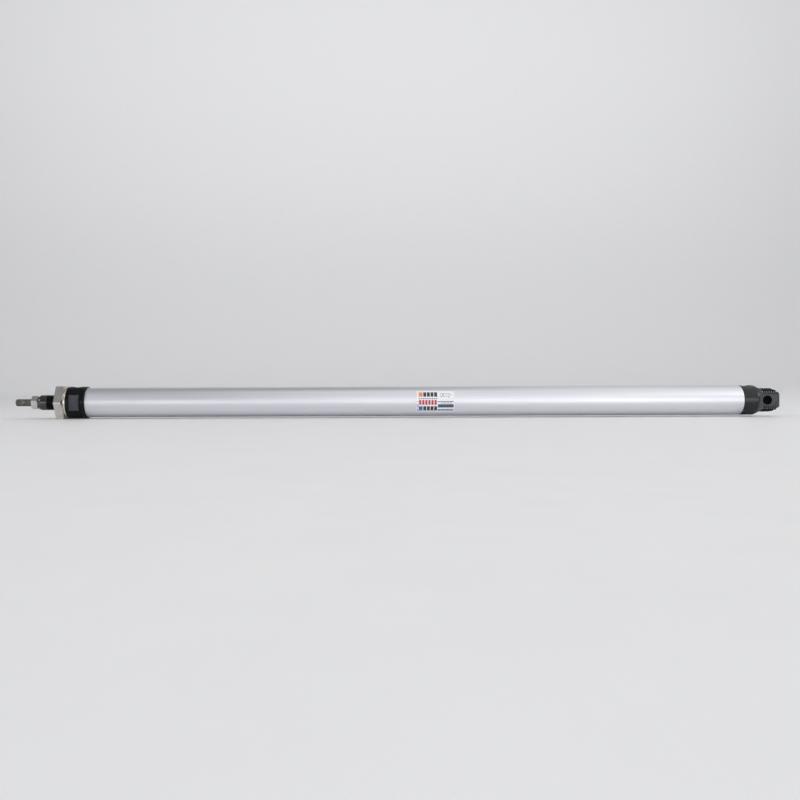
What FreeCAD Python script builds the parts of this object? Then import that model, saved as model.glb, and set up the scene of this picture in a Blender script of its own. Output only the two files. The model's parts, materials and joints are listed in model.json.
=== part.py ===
"""Double-acting round pneumatic cylinder, 16 mm bore and 400 mm stroke, with its rod in.

The cylinder axis is X. The origin is the centre of the rear pivot hole, whose axis is Y, and the rod
comes out towards -X. Every piece starts at its own front end (its lowest x), and its Placement puts
it on the common axis, measured back from the pivot hole.
"""
import FreeCAD, Part
import math
import os
import Sketcher

doc = FreeCAD.newDocument("PneumaticCylinder")

# Driving dimensions in millimetres, and angles in degrees.
SIZES = {
    # Main sizes.
    "stroke": 400.0,
    "bore_dia": 16.0,
    "barrel_dia": 20.0,
    "barrel_length": 440.0,
    "pivot_reach": 470.0,        # pivot hole to the shoulder that the front washer seats on
    "head_length": 12.8,         # shoulder to the front end of the barrel
    # Gaps between pieces.
    "slip_gap": 0.04,            # rod in its bush and seals
    "piston_gap": 0.05,          # seals and wear ring, on the bore and in their grooves
    "static_gap": 0.02,          # pieces of one body that are only pushed together
    "side_gap": 0.1,             # along the axis, beside a ring in its groove
    "bumper_gap": 0.25,          # piston to bumper at each end of the stroke
    "cut_margin": 3.0,           # how far a cut runs past the piece
    # Rod.
    "rod_dia": 6.0,
    "rod_reach": 36.0,           # rod's tip ahead of the shoulder
    "rod_chamfer": 0.7,
    "rod_thread_dia": 5.0,
    "rod_core_dia": 4.2,         # under the rod nut, the thread's core
    "rod_tail_dia": 4.0,
    "rod_tail_gap": 0.5,         # rod's end inside the piston's rear face
    "rod_nut_flats": 8.0,
    "rod_nut_length": 4.5,
    "rod_nut_back": 20.4,        # rear face of the rod nut, ahead of the shoulder
    "rod_nut_turn": 17.0,        # the corner at -Y is lifted by this angle
    # Nose and front cover.
    "nose_dia": 10.2,
    "nose_reach": 20.0,
    "gland_length": 5.8,
    "gland_lip": 1.2,
    "gland_bore_dia": 8.8,
    "gland_chamfer": 1.4,
    "gland_overlap": 1.5,
    "rod_clear_dia": 6.6,
    "thread_dia": 16.0,
    "thread_length": 8.0,
    "thread_chamfer": 1.0,
    "nut_flats": 22.0,
    "nut_length": 6.0,
    "washer_length": 1.0,
    "washer_dia": 21.6,
    "head_dia": 21.5,
    "head_chamfer": 0.4,
    "head_flats": 18.8,
    "head_flat_start": 2.2,
    "head_flat_length": 7.0,
    "head_groove_start": 9.6,
    "head_groove_width": 0.5,
    "bush_dia": 7.5,
    "bush_length": 8.2,
    "seal_room_dia": 11.0,
    "seal_room_start": 5.5,      # ahead of the shoulder
    "rod_seal_length": 4.0,
    "retainer_length": 1.5,
    "wiper_length": 2.8,
    "wiper_lip": 0.3,
    "wiper_step": 0.2,
    # Spigots that both covers push into the barrel.
    "spigot_length": 10.0,
    "ring_groove_start": 3.7,    # from the barrel's end
    "ring_groove_width": 2.4,
    "ring_groove_dia": 13.2,
    "ring_section": 1.32,
    "bumper_dia": 13.2,
    "bumper_bore_dia": 8.4,
    "bumper_length": 2.5,
    "bumper_seat": 1.5,
    "spigot_chamfer": 0.5,
    # Rear cover.
    "rear_length": 9.4,
    "rear_cone_length": 4.4,
    "air_bore_dia": 8.0,
    "air_bore_length": 16.6,
    "tang_thickness": 12.0,
    "tang_start": 6.6,           # start of the flats ahead of the pivot hole
    "tang_end": 8.0,
    "tang_swing_radius": 8.9,
    "pivot_dia": 6.1,
    # Ports.
    "port_dia": 4.2,
    "port_face_dia": 7.0,
    "front_port": 5.7,           # behind the shoulder
    "rear_port": 13.0,           # ahead of the pivot hole
    "port_face_depth": 0.5,
    # Piston.
    "piston_dia": 15.8,
    "piston_length": 17.5,
    "seal_groove_dia": 11.2,
    "seal_groove_width": 3.0,
    "seal_groove_edge": 2.2,
    "seal_lip": 0.6,             # thickness of every lip seal's lips
    "seal_heel_gap": 0.2,        # heel of a piston seal, inside its lip
    "wear_groove_dia": 14.1,
    "wear_groove_width": 4.2,
    "magnet_room_dia": 12.8,
    "magnet_room_core": 8.0,
    "magnet_room_width": 3.4,
    "rod_seat_depth": 2.0,
    "rod_ring_section": 0.9,
    "rod_ring_room_dia": 6.0,
    "rod_ring_room_length": 1.0,
    "tail_nut_flats": 7.0,
    "tail_nut_length": 3.0,
    "tail_nut_room_dia": 8.4,
    "tail_nut_room_depth": 3.35,
    # Label.
    "label_length": 25.0,
    "label_centre": 247.0,       # behind the shoulder
    "label_angle": 86.0,
    "label_thickness": 0.08,
}


class Dim:
    """A length that carries both its number and the sheet expression that it comes from."""

    def __init__(self, value, text):
        self.value = value
        self.text = text

    def __add__(self, other):
        other = as_dim(other)
        return Dim(self.value + other.value, f"({self.text} + {other.text})")

    def __sub__(self, other):
        other = as_dim(other)
        return Dim(self.value - other.value, f"({self.text} - {other.text})")

    def __mul__(self, factor):
        return Dim(self.value * factor, f"({self.text} * {factor!r})")

    def __truediv__(self, divisor):
        return Dim(self.value / divisor, f"({self.text} / {divisor!r})")

    def __neg__(self):
        return Dim(-self.value, f"(0 - {self.text})")


def as_dim(number):
    return number if isinstance(number, Dim) else Dim(float(number), repr(float(number)))


class Sizes:
    """The driving dimensions by name, each one a Dim bound to its cell."""

    def __init__(self):
        for alias, value in SIZES.items():
            setattr(self, alias, Dim(value, "Sizes." + alias))


def make_sheet():
    sheet = doc.addObject("Spreadsheet::Sheet", "Sizes")
    for row, (alias, value) in enumerate(SIZES.items(), start=1):
        sheet.set(f"A{row}", alias)
        sheet.set(f"B{row}", str(value))
        sheet.setAlias(f"B{row}", alias)
    doc.recompute()


make_sheet()
d = Sizes()
ZERO = as_dim(0)
NEARLY_ZERO = 1e-6
SHOULDER = -d.pivot_reach
HEX_WIDTH_TO_RADIUS = math.sqrt(3.0)
HEX_BEVEL_SLOPE = math.tan(math.radians(30.0))
HEX_BEVEL_START = 0.475      # radius where a nut's bevel begins, over its width across flats
HEX_BEVEL_END = 0.65
AXIS_TO_X = FreeCAD.Rotation(FreeCAD.Vector(0, 1, 0), 90)
ABOUT_X = FreeCAD.Vector(1, 0, 0)
LIFTING_FRONT = FreeCAD.Vector(-1, 0, 0)     # a turn about this axis lifts what is at -Y


# ---- Helpers -------------------------------------------------------------------------------------

def place(piece, x, rotation=None):
    """Puts a piece at x on the cylinder's axis, bound to the sheet."""
    piece.Placement = FreeCAD.Placement(FreeCAD.Vector(x.value, 0, 0), rotation or FreeCAD.Rotation())
    piece.setExpression("Placement.Base.x", x.text)


def new_body(label, x, rotation=None):
    body = doc.addObject("PartDesign::Body", label)
    body.Label = label
    place(body, x, rotation)
    return body


def new_sketch(body, plane, name, height=None):
    """A sketch on one of the body's own origin planes, raised by height along the plane's normal."""
    sketch = body.newObject("Sketcher::SketchObject", name)
    support = [feature for feature in body.Origin.OriginFeatures if feature.Role == plane]
    sketch.AttachmentSupport = [(support[0], "")]
    sketch.MapMode = "FlatFace"
    if height is not None:
        sketch.setExpression("AttachmentOffset.Base.z", height.text)
    return sketch


def fix_coordinate(sketch, kind, geometry, point, value):
    """Holds a point at a signed distance from the sketch's origin, bound to the sheet."""
    origin = (-1, 1)
    if abs(value.value) < NEARLY_ZERO:
        other_axis = -2 if kind == "DistanceX" else -1
        sketch.addConstraint(Sketcher.Constraint("PointOnObject", geometry, point, other_axis))
        return
    if value.value > 0:
        index = sketch.addConstraint(Sketcher.Constraint(kind, *origin, geometry, point, value.value))
        sketch.setExpression(f"Constraints[{index}]", value.text)
        return
    index = sketch.addConstraint(Sketcher.Constraint(kind, geometry, point, *origin, -value.value))
    sketch.setExpression(f"Constraints[{index}]", (-value).text)


def add_outline(sketch, points):
    """Adds a closed loop of straight lines through (across, up) points, with every corner held."""
    corners = [FreeCAD.Vector(across.value, up.value, 0) for across, up in points]
    count = len(points)
    lines = [
        sketch.addGeometry(Part.LineSegment(corners[i], corners[(i + 1) % count]), False)
        for i in range(count)
    ]
    for i in range(count):
        sketch.addConstraint(Sketcher.Constraint("Coincident", lines[i], 2, lines[(i + 1) % count], 1))
    for i, (across, up) in enumerate(points):
        fix_coordinate(sketch, "DistanceX", lines[i], 1, across)
        fix_coordinate(sketch, "DistanceY", lines[i], 1, up)


def add_circle(sketch, across, up, diameter):
    centre = FreeCAD.Vector(across.value, up.value, 0)
    circle = sketch.addGeometry(Part.Circle(centre, FreeCAD.Vector(0, 0, 1), diameter.value / 2), False)
    fix_coordinate(sketch, "DistanceX", circle, 3, across)
    fix_coordinate(sketch, "DistanceY", circle, 3, up)
    index = sketch.addConstraint(Sketcher.Constraint("Diameter", circle, diameter.value))
    sketch.setExpression(f"Constraints[{index}]", diameter.text)


def turned(label, x, points):
    """A piece turned about the cylinder's axis from its half section of (along, radius) points."""
    body = new_body(label, x)
    sketch = new_sketch(body, "XZ_Plane", label + "_section")
    add_outline(sketch, points)
    revolution = body.newObject("PartDesign::Revolution", label + "_turned")
    revolution.Profile = sketch
    revolution.ReferenceAxis = (sketch, ["H_Axis"])
    revolution.Angle = 360
    doc.recompute()
    return body


def remove(body, cutter):
    """Recomputes after a cut has been added and makes sure that it took material away."""
    before = cutter.BaseFeature.Shape.Volume
    doc.recompute()
    if cutter.Shape.isNull() or cutter.Shape.Volume > before - NEARLY_ZERO:
        raise RuntimeError(f"{cutter.Label} removes nothing from {body.Label}")


def pocket_through(body, sketch, both_ways=True):
    """Cuts a sketch through the whole piece, both ways or only along the sketch plane's normal."""
    pocket = body.newObject("PartDesign::Pocket", sketch.Name + "_cut")
    pocket.Profile = sketch
    pocket.Type = "ThroughAll"
    if both_ways:
        pocket.SideType = "Symmetric"
    else:
        pocket.Reversed = True
    remove(body, pocket)


def mill_flats(body, name, start, end, across_flats, outer_dia):
    """Cuts two flats, facing +Y and -Y, between two places along the axis."""
    sketch = new_sketch(body, "XY_Plane", name)
    near = across_flats / 2
    far = outer_dia / 2 + d.cut_margin
    add_outline(sketch, [(start, near), (end, near), (end, far), (start, far)])
    add_outline(sketch, [(start, -near), (end, -near), (end, -far), (start, -far)])
    pocket_through(body, sketch)


def drill_port(body, name, x, outer_dia):
    """Drills a port from the middle up through the wall, under a small spot face."""
    hole = new_sketch(body, "XY_Plane", name + "_hole")
    add_circle(hole, x, ZERO, d.port_dia)
    pocket_through(body, hole, both_ways=False)
    face = new_sketch(body, "XY_Plane", name + "_face", height=outer_dia / 2 - d.port_face_depth)
    add_circle(face, x, ZERO, d.port_face_dia)
    pocket_through(body, face, both_ways=False)


def hex_nut(label, x, across_flats, length, bore_dia, turn):
    """A hexagon nut with a corner at -Y, lifted by turn. Its rear face is bevelled, and its bore is plain."""
    body = new_body(label, x, FreeCAD.Rotation(LIFTING_FRONT, turn.value))
    if turn is not ZERO:
        body.setExpression("Placement.Rotation.Angle", turn.text)
    prism = body.newObject("PartDesign::AdditivePrism", label + "_hexagon")
    prism.Polygon = 6
    support = [feature for feature in body.Origin.OriginFeatures if feature.Role == "YZ_Plane"]
    prism.AttachmentSupport = [(support[0], "")]
    prism.MapMode = "FlatFace"
    prism.setExpression("Circumradius", (across_flats / HEX_WIDTH_TO_RADIUS).text)
    prism.setExpression("Height", length.text)
    doc.recompute()

    bevels = new_sketch(body, "XZ_Plane", label + "_bevels")
    inner = across_flats * HEX_BEVEL_START
    outer = across_flats * HEX_BEVEL_END
    drop = (outer - inner) * HEX_BEVEL_SLOPE
    add_outline(bevels, [(length, inner), (length, outer), (length - drop, outer)])
    groove = body.newObject("PartDesign::Groove", label + "_bevelled")
    groove.Profile = bevels
    groove.ReferenceAxis = (bevels, ["H_Axis"])
    groove.Angle = 360
    remove(body, groove)

    bore = new_sketch(body, "YZ_Plane", label + "_bore")
    add_circle(bore, ZERO, ZERO, bore_dia)
    pocket_through(body, bore)


def round_ring(label, x, centre_dia, section_dia):
    """A ring of round section about the cylinder's axis."""
    ring = doc.addObject("Part::Torus", label)
    ring.Label = label
    place(ring, x, AXIS_TO_X)
    ring.setExpression("Radius1", (centre_dia / 2).text)
    ring.setExpression("Radius2", (section_dia / 2).text)
    doc.recompute()


# ---- Barrel and covers ---------------------------------------------------------------------------

def make_barrel():
    inner = d.bore_dia / 2
    outer = d.barrel_dia / 2
    end = d.barrel_length
    points = [(ZERO, inner), (ZERO, outer), (end, outer), (end, inner)]
    turned("barrel", SHOULDER + d.head_length, points)


def make_front_cover():
    """The black head: thin nose, thread for the mounting nut, head with flats, and inner spigot."""
    start = d.nose_reach - d.gland_length + d.gland_overlap
    shoulder = start
    thread_start = shoulder - d.thread_length
    head_end = shoulder + d.head_length
    end = head_end + d.spigot_length
    groove = shoulder + d.head_groove_start
    ring = head_end + d.ring_groove_start
    spigot = d.bore_dia / 2 - d.static_gap
    head = d.head_dia / 2
    thread = d.thread_dia / 2
    nose = d.nose_dia / 2
    neck = d.gland_bore_dia / 2 - d.static_gap
    bush_start = shoulder - d.seal_room_start - d.bush_length - d.side_gap
    seal_room = shoulder - d.seal_room_start
    body = turned("front_cover", SHOULDER - start, [
        (ZERO, d.rod_clear_dia / 2),
        (ZERO, neck),
        (d.gland_overlap, neck),
        (d.gland_overlap, nose),
        (thread_start, nose),
        (thread_start, thread - d.thread_chamfer),
        (thread_start + d.thread_chamfer, thread),
        (shoulder, thread),
        (shoulder, head - d.head_chamfer),
        (shoulder + d.head_chamfer, head),
        (groove, head),
        (groove, head - d.head_chamfer),
        (groove + d.head_groove_width, head - d.head_chamfer),
        (groove + d.head_groove_width, head),
        (head_end, head),
        (head_end, spigot),
        (ring, spigot),
        (ring, d.ring_groove_dia / 2),
        (ring + d.ring_groove_width, d.ring_groove_dia / 2),
        (ring + d.ring_groove_width, spigot),
        (end - d.spigot_chamfer, spigot),
        (end, spigot - d.spigot_chamfer),
        (end, d.bumper_dia / 2),
        (end - d.bumper_seat, d.bumper_dia / 2),
        (end - d.bumper_seat, d.seal_room_dia / 2),
        (seal_room, d.seal_room_dia / 2),
        (seal_room, d.bush_dia / 2),
        (bush_start, d.bush_dia / 2),
        (bush_start, d.rod_clear_dia / 2),
    ])
    flat_start = shoulder + d.head_flat_start
    flat_end = flat_start + d.head_flat_length
    mill_flats(body, "head_flats", flat_start, flat_end, d.head_flats, d.head_dia)
    drill_port(body, "front_port", shoulder + d.front_port, d.head_dia)


def make_rear_cover():
    """The black rear end: spigot in the barrel, plain ring, cone, and threaded tang with its pivot hole."""
    start = d.pivot_reach - d.head_length - d.barrel_length + d.spigot_length
    ring = d.spigot_length - d.ring_groove_start - d.ring_groove_width
    rear_end = d.spigot_length + d.rear_length
    tang_base = rear_end + d.rear_cone_length
    spigot = d.bore_dia / 2 - d.static_gap
    rear = d.barrel_dia / 2
    tang = d.thread_dia / 2
    end = start + d.tang_end
    body = turned("rear_cover", -start, [
        (ZERO, d.bumper_dia / 2),
        (ZERO, spigot - d.spigot_chamfer),
        (d.spigot_chamfer, spigot),
        (ring, spigot),
        (ring, d.ring_groove_dia / 2),
        (ring + d.ring_groove_width, d.ring_groove_dia / 2),
        (ring + d.ring_groove_width, spigot),
        (d.spigot_length, spigot),
        (d.spigot_length, rear),
        (rear_end, rear),
        (tang_base, tang),
        (end, tang),
        (end, ZERO),
        (d.air_bore_length, ZERO),
        (d.air_bore_length, d.air_bore_dia / 2),
        (d.bumper_seat, d.air_bore_dia / 2),
        (d.bumper_seat, d.bumper_dia / 2),
    ])
    flats_start = start - d.tang_start
    mill_flats(body, "tang_flats", flats_start, end + d.cut_margin, d.tang_thickness, d.barrel_dia)
    round_tang_end(body, start)
    pivot = new_sketch(body, "XZ_Plane", "pivot_hole")
    add_circle(pivot, start, ZERO, d.pivot_dia)
    pocket_through(body, pivot)
    drill_port(body, "rear_port", start - d.rear_port, d.barrel_dia)


def round_tang_end(body, pivot):
    """Cuts away what lies outside the tang's swing circle, seen along the pivot."""
    sketch = new_sketch(body, "XZ_Plane", "tang_swing")
    centre = FreeCAD.Vector(pivot.value, 0, 0)
    radius = d.tang_swing_radius
    far = d.tang_swing_radius + d.cut_margin
    circle = Part.Circle(centre, FreeCAD.Vector(0, 0, 1), radius.value)
    quarter = math.pi / 2
    arc = sketch.addGeometry(Part.ArcOfCircle(circle, -quarter, quarter), False)
    corners = [(pivot, far), (pivot + far, far), (pivot + far, -far), (pivot, -far)]
    top = FreeCAD.Vector(pivot.value, radius.value, 0)
    bottom = FreeCAD.Vector(pivot.value, -radius.value, 0)
    route = [top] + [FreeCAD.Vector(x.value, z.value, 0) for x, z in corners] + [bottom]
    lines = [
        sketch.addGeometry(Part.LineSegment(route[i], route[i + 1]), False)
        for i in range(len(route) - 1)
    ]
    for first, second in zip(lines, lines[1:]):
        sketch.addConstraint(Sketcher.Constraint("Coincident", first, 2, second, 1))
    sketch.addConstraint(Sketcher.Constraint("Coincident", arc, 2, lines[0], 1))
    sketch.addConstraint(Sketcher.Constraint("Coincident", arc, 1, lines[-1], 2))
    for line, (x, z) in zip(lines[1:], corners):
        fix_coordinate(sketch, "DistanceX", line, 1, x)
        fix_coordinate(sketch, "DistanceY", line, 1, z)
    fix_coordinate(sketch, "DistanceX", arc, 3, pivot)
    fix_coordinate(sketch, "DistanceY", arc, 3, ZERO)
    sketch.addConstraint(Sketcher.Constraint("Vertical", lines[0]))
    sketch.addConstraint(Sketcher.Constraint("Vertical", lines[-1]))
    index = sketch.addConstraint(Sketcher.Constraint("Radius", arc, radius.value))
    sketch.setExpression(f"Constraints[{index}]", radius.text)
    pocket_through(body, sketch)


# ---- Nose: mounting nut, washer, gland and what seals the rod --------------------------------------

def make_nose_fasteners():
    nut_start = SHOULDER - d.washer_length - d.nut_length
    hex_nut("mounting_nut", nut_start, d.nut_flats, d.nut_length, d.thread_dia, ZERO)
    inner = d.thread_dia / 2 + d.static_gap
    outer = d.washer_dia / 2
    length = d.washer_length
    turned("nut_washer", SHOULDER - d.washer_length,
           [(ZERO, inner), (ZERO, outer), (length, outer), (length, inner)])


def make_gland_cap():
    nose = d.nose_dia / 2
    chamfer = d.gland_chamfer
    end = d.gland_length
    turned("gland_cap", SHOULDER - d.nose_reach, [
        (ZERO, d.rod_clear_dia / 2),
        (ZERO, nose - chamfer / 2),
        (chamfer, nose),
        (end, nose),
        (end, d.gland_bore_dia / 2),
        (d.gland_lip, d.gland_bore_dia / 2),
        (d.gland_lip, d.rod_clear_dia / 2),
    ])


def make_rod_guides():
    """The wiper in the gland cap, the bush in the nose, and the lip seal with its retainer behind."""
    slip = d.rod_dia / 2 + d.slip_gap
    wiper_outer = d.gland_bore_dia / 2 - d.static_gap
    turned("rod_wiper", SHOULDER - d.nose_reach + d.gland_lip + d.static_gap, [
        (ZERO, slip),
        (ZERO, slip + d.wiper_lip),
        (d.wiper_length / 2, wiper_outer - d.wiper_step),
        (d.wiper_length / 2, wiper_outer),
        (d.wiper_length, wiper_outer),
        (d.wiper_length, slip),
    ])
    bush_outer = d.bush_dia / 2 - d.static_gap
    turned("rod_bush", SHOULDER - d.seal_room_start - d.bush_length, [
        (ZERO, slip),
        (ZERO, bush_outer),
        (d.bush_length, bush_outer),
        (d.bush_length, slip),
    ])
    room_outer = d.seal_room_dia / 2 - d.static_gap
    seal_start = SHOULDER - d.seal_room_start + d.side_gap
    lip = d.rod_seal_length / 2
    turned("rod_seal", seal_start, [
        (ZERO, slip),
        (ZERO, room_outer),
        (d.rod_seal_length, room_outer),
        (d.rod_seal_length, room_outer - d.seal_lip),
        (lip, (room_outer + slip) / 2),
        (d.rod_seal_length, slip + d.seal_lip),
        (d.rod_seal_length, slip),
    ])
    turned("seal_retainer", seal_start + d.rod_seal_length + d.side_gap, [
        (ZERO, d.rod_clear_dia / 2),
        (ZERO, room_outer),
        (d.retainer_length, room_outer),
        (d.retainer_length, d.rod_clear_dia / 2),
    ])


# ---- Seals and bumpers of both covers --------------------------------------------------------------

def make_cover_seals():
    barrel_front = SHOULDER + d.head_length
    barrel_rear = barrel_front + d.barrel_length
    centre_dia = (d.ring_groove_dia + d.bore_dia) / 2
    to_ring = d.ring_groove_start + d.ring_groove_width / 2
    round_ring("front_o_ring", barrel_front + to_ring, centre_dia, d.ring_section)
    round_ring("rear_o_ring", barrel_rear - to_ring, centre_dia, d.ring_section)
    inner = d.bumper_bore_dia / 2
    outer = d.bumper_dia / 2 - d.static_gap
    section = [(ZERO, inner), (ZERO, outer), (d.bumper_length, outer), (d.bumper_length, inner)]
    turned("front_bumper", barrel_front + d.spigot_length - d.bumper_seat, section)
    proud = d.bumper_length - d.bumper_seat
    turned("rear_bumper", barrel_rear - d.spigot_length - proud, section)


# ---- Piston and rod --------------------------------------------------------------------------------

def piston_front():
    """Front face of the piston, which stops short of the rear bumper by the bumper gap."""
    barrel_rear = SHOULDER + d.head_length + d.barrel_length
    proud = d.bumper_length - d.bumper_seat
    rear_face = barrel_rear - d.spigot_length - proud - d.bumper_gap
    return rear_face - d.piston_length


def check_stroke():
    """The piston must have the whole stroke between the bumpers."""
    proud = d.bumper_length.value - d.bumper_seat.value
    room = d.barrel_length.value - 2 * (d.spigot_length.value + proud)
    travel = room - d.piston_length.value - 2 * d.bumper_gap.value
    if abs(travel - d.stroke.value) > NEARLY_ZERO:
        raise RuntimeError(f"the piston can travel {travel} mm, not {d.stroke.value} mm")


def make_rod():
    tip = d.rod_reach
    nut_back = tip - d.rod_nut_back
    nut_front = nut_back - d.rod_nut_length
    seat = piston_front() + d.rod_seat_depth - (SHOULDER - d.rod_reach)
    end = seat + d.piston_length - d.rod_seat_depth - d.rod_tail_gap
    rod = d.rod_dia / 2
    thread = d.rod_thread_dia / 2
    core = d.rod_core_dia / 2
    tail = d.rod_tail_dia / 2
    turned("piston_rod", SHOULDER - d.rod_reach, [
        (ZERO, ZERO),
        (ZERO, thread - d.rod_chamfer),
        (d.rod_chamfer, thread),
        (nut_front, thread),
        (nut_front, core),
        (nut_back, core),
        (nut_back, rod),
        (seat, rod),
        (seat, tail),
        (end, tail),
        (end, ZERO),
    ])
    nut_start = SHOULDER - d.rod_nut_back - d.rod_nut_length
    hex_nut("rod_nut", nut_start, d.rod_nut_flats, d.rod_nut_length, d.rod_core_dia, d.rod_nut_turn)


def make_piston():
    """Two aluminium halves that hold the magnet between them, each with a groove for its lip seal."""
    half = d.piston_length / 2
    outer = d.piston_dia / 2
    tail = d.rod_tail_dia / 2 + d.static_gap
    rod = d.rod_dia / 2 + d.static_gap
    seal_floor = d.seal_groove_dia / 2
    seal_start = d.seal_groove_edge
    seal_end = seal_start + d.seal_groove_width
    wear_floor = d.wear_groove_dia / 2
    wear_half = d.wear_groove_width / 2
    magnet_outer = d.magnet_room_dia / 2
    magnet_inner = d.magnet_room_core / 2
    magnet_half = d.magnet_room_width / 2
    turned("piston_front_half", piston_front(), [
        (ZERO, rod),
        (ZERO, outer),
        (seal_start, outer),
        (seal_start, seal_floor),
        (seal_end, seal_floor),
        (seal_end, outer),
        (half - wear_half, outer),
        (half - wear_half, wear_floor),
        (half, wear_floor),
        (half, magnet_outer),
        (half - magnet_half, magnet_outer),
        (half - magnet_half, magnet_inner),
        (half, magnet_inner),
        (half, tail),
        (d.rod_seat_depth, tail),
        (d.rod_seat_depth, rod),
    ])
    ring_room = d.rod_ring_room_dia / 2
    nut_room = d.tail_nut_room_dia / 2
    nut_floor = half - d.tail_nut_room_depth
    turned("piston_rear_half", piston_front() + half, [
        (ZERO, ring_room),
        (ZERO, magnet_inner),
        (magnet_half, magnet_inner),
        (magnet_half, magnet_outer),
        (ZERO, magnet_outer),
        (ZERO, wear_floor),
        (wear_half, wear_floor),
        (wear_half, outer),
        (half - seal_end, outer),
        (half - seal_end, seal_floor),
        (half - seal_start, seal_floor),
        (half - seal_start, outer),
        (half, outer),
        (half, nut_room),
        (nut_floor, nut_room),
        (nut_floor, tail),
        (d.rod_ring_room_length, tail),
        (d.rod_ring_room_length, ring_room),
    ])


def make_piston_fittings():
    """The magnet, the rod's static ring, and the nut that holds the piston on the rod's tail."""
    middle = piston_front() + d.piston_length / 2
    length = d.magnet_room_width - d.side_gap
    inner = d.magnet_room_core / 2 + d.static_gap
    outer = d.magnet_room_dia / 2 - d.static_gap
    turned("magnet_ring", middle - length / 2,
           [(ZERO, inner), (ZERO, outer), (length, outer), (length, inner)])
    ring_dia = (d.rod_tail_dia + d.rod_ring_room_dia) / 2
    round_ring("rod_o_ring", middle + d.rod_ring_room_length / 2, ring_dia, d.rod_ring_section)
    nut_start = piston_front() + d.piston_length - d.tail_nut_room_depth
    hex_nut("piston_nut", nut_start, d.tail_nut_flats, d.tail_nut_length,
            d.rod_tail_dia + d.static_gap * 2, ZERO)


def make_piston_seals():
    """The two lip seals, their lips facing away from each other, and the wear ring between them."""
    front = piston_front()
    inner = d.seal_groove_dia / 2 + d.piston_gap
    outer = d.bore_dia / 2 - d.piston_gap
    length = d.seal_groove_width - d.side_gap * 2
    lip_depth = length / 2
    lip_root = (inner + outer) / 2
    heel = outer - d.seal_heel_gap
    turned("piston_seal_front", front + d.seal_groove_edge + d.side_gap, [
        (ZERO, inner),
        (ZERO, inner + d.seal_lip),
        (lip_depth, lip_root),
        (ZERO, outer - d.seal_lip),
        (ZERO, outer),
        (length, heel),
        (length, inner),
    ])
    rear_start = front + d.piston_length - d.seal_groove_edge - d.side_gap - length
    turned("piston_seal_rear", rear_start, [
        (ZERO, inner),
        (ZERO, heel),
        (length, outer),
        (length, outer - d.seal_lip),
        (length - lip_depth, lip_root),
        (length, inner + d.seal_lip),
        (length, inner),
    ])
    wear_length = d.wear_groove_width - d.side_gap * 2
    wear_inner = d.wear_groove_dia / 2 + d.piston_gap
    turned("wear_ring", front + d.piston_length / 2 - wear_length / 2, [
        (ZERO, wear_inner),
        (ZERO, outer),
        (wear_length, outer),
        (wear_length, wear_inner),
    ])


# ---- Label -----------------------------------------------------------------------------------------

def make_label():
    """The rating label: a thin sheet round the front (-Y) side of the barrel."""
    start = SHOULDER + d.label_centre - d.label_length / 2
    body = new_body("rating_label", start, FreeCAD.Rotation(ABOUT_X, 90))
    sketch = new_sketch(body, "XZ_Plane", "label_section")
    inner = d.barrel_dia / 2
    outer = inner + d.label_thickness
    length = d.label_length
    add_outline(sketch, [(ZERO, inner), (ZERO, outer), (length, outer), (length, inner)])
    sheet = body.newObject("PartDesign::Revolution", "label_bent")
    sheet.Profile = sketch
    sheet.ReferenceAxis = (sketch, ["H_Axis"])
    sheet.Midplane = True
    sheet.setExpression("Angle", d.label_angle.text)
    doc.recompute()


# ---- Build, check and write ------------------------------------------------------------------------

def check_document():
    for item in doc.Objects:
        if "Invalid" in item.State or "Error" in item.State:
            raise RuntimeError(f"{item.Label} failed: {item.State}")


def write_parts():
    os.makedirs("parts", exist_ok=True)
    pieces = [item for item in doc.Objects if item.TypeId in ("PartDesign::Body", "Part::Torus")]
    for piece in pieces:
        if piece.Shape.isNull() or not piece.Shape.isValid():
            raise RuntimeError(f"{piece.Label} has no valid shape")
    for piece in pieces:
        piece.Shape.exportStep(f"parts/{piece.Label}.step")
        box = piece.Shape.BoundBox
        print(f"{piece.Label:20s} x {box.XMin:9.2f} to {box.XMax:8.2f}  volume {piece.Shape.Volume:10.2f}")
    print(len(pieces), "pieces")


check_stroke()
make_barrel()
make_front_cover()
make_rear_cover()
make_nose_fasteners()
make_gland_cap()
make_rod_guides()
make_cover_seals()
make_rod()
make_piston()
make_piston_fittings()
make_piston_seals()
make_label()
doc.recompute()
check_document()
write_parts()
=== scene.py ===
"""The looks of the pneumatic cylinder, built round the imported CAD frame.

Units are metres. The cylinder lies along X with its rod towards -X, and its label faces -Y.
Stations along the axis are measured from the shoulder, where the front washer seats, towards the
rear.
"""
import bpy
import bmesh
import json
import math
from mathutils import Matrix, Vector


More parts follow.
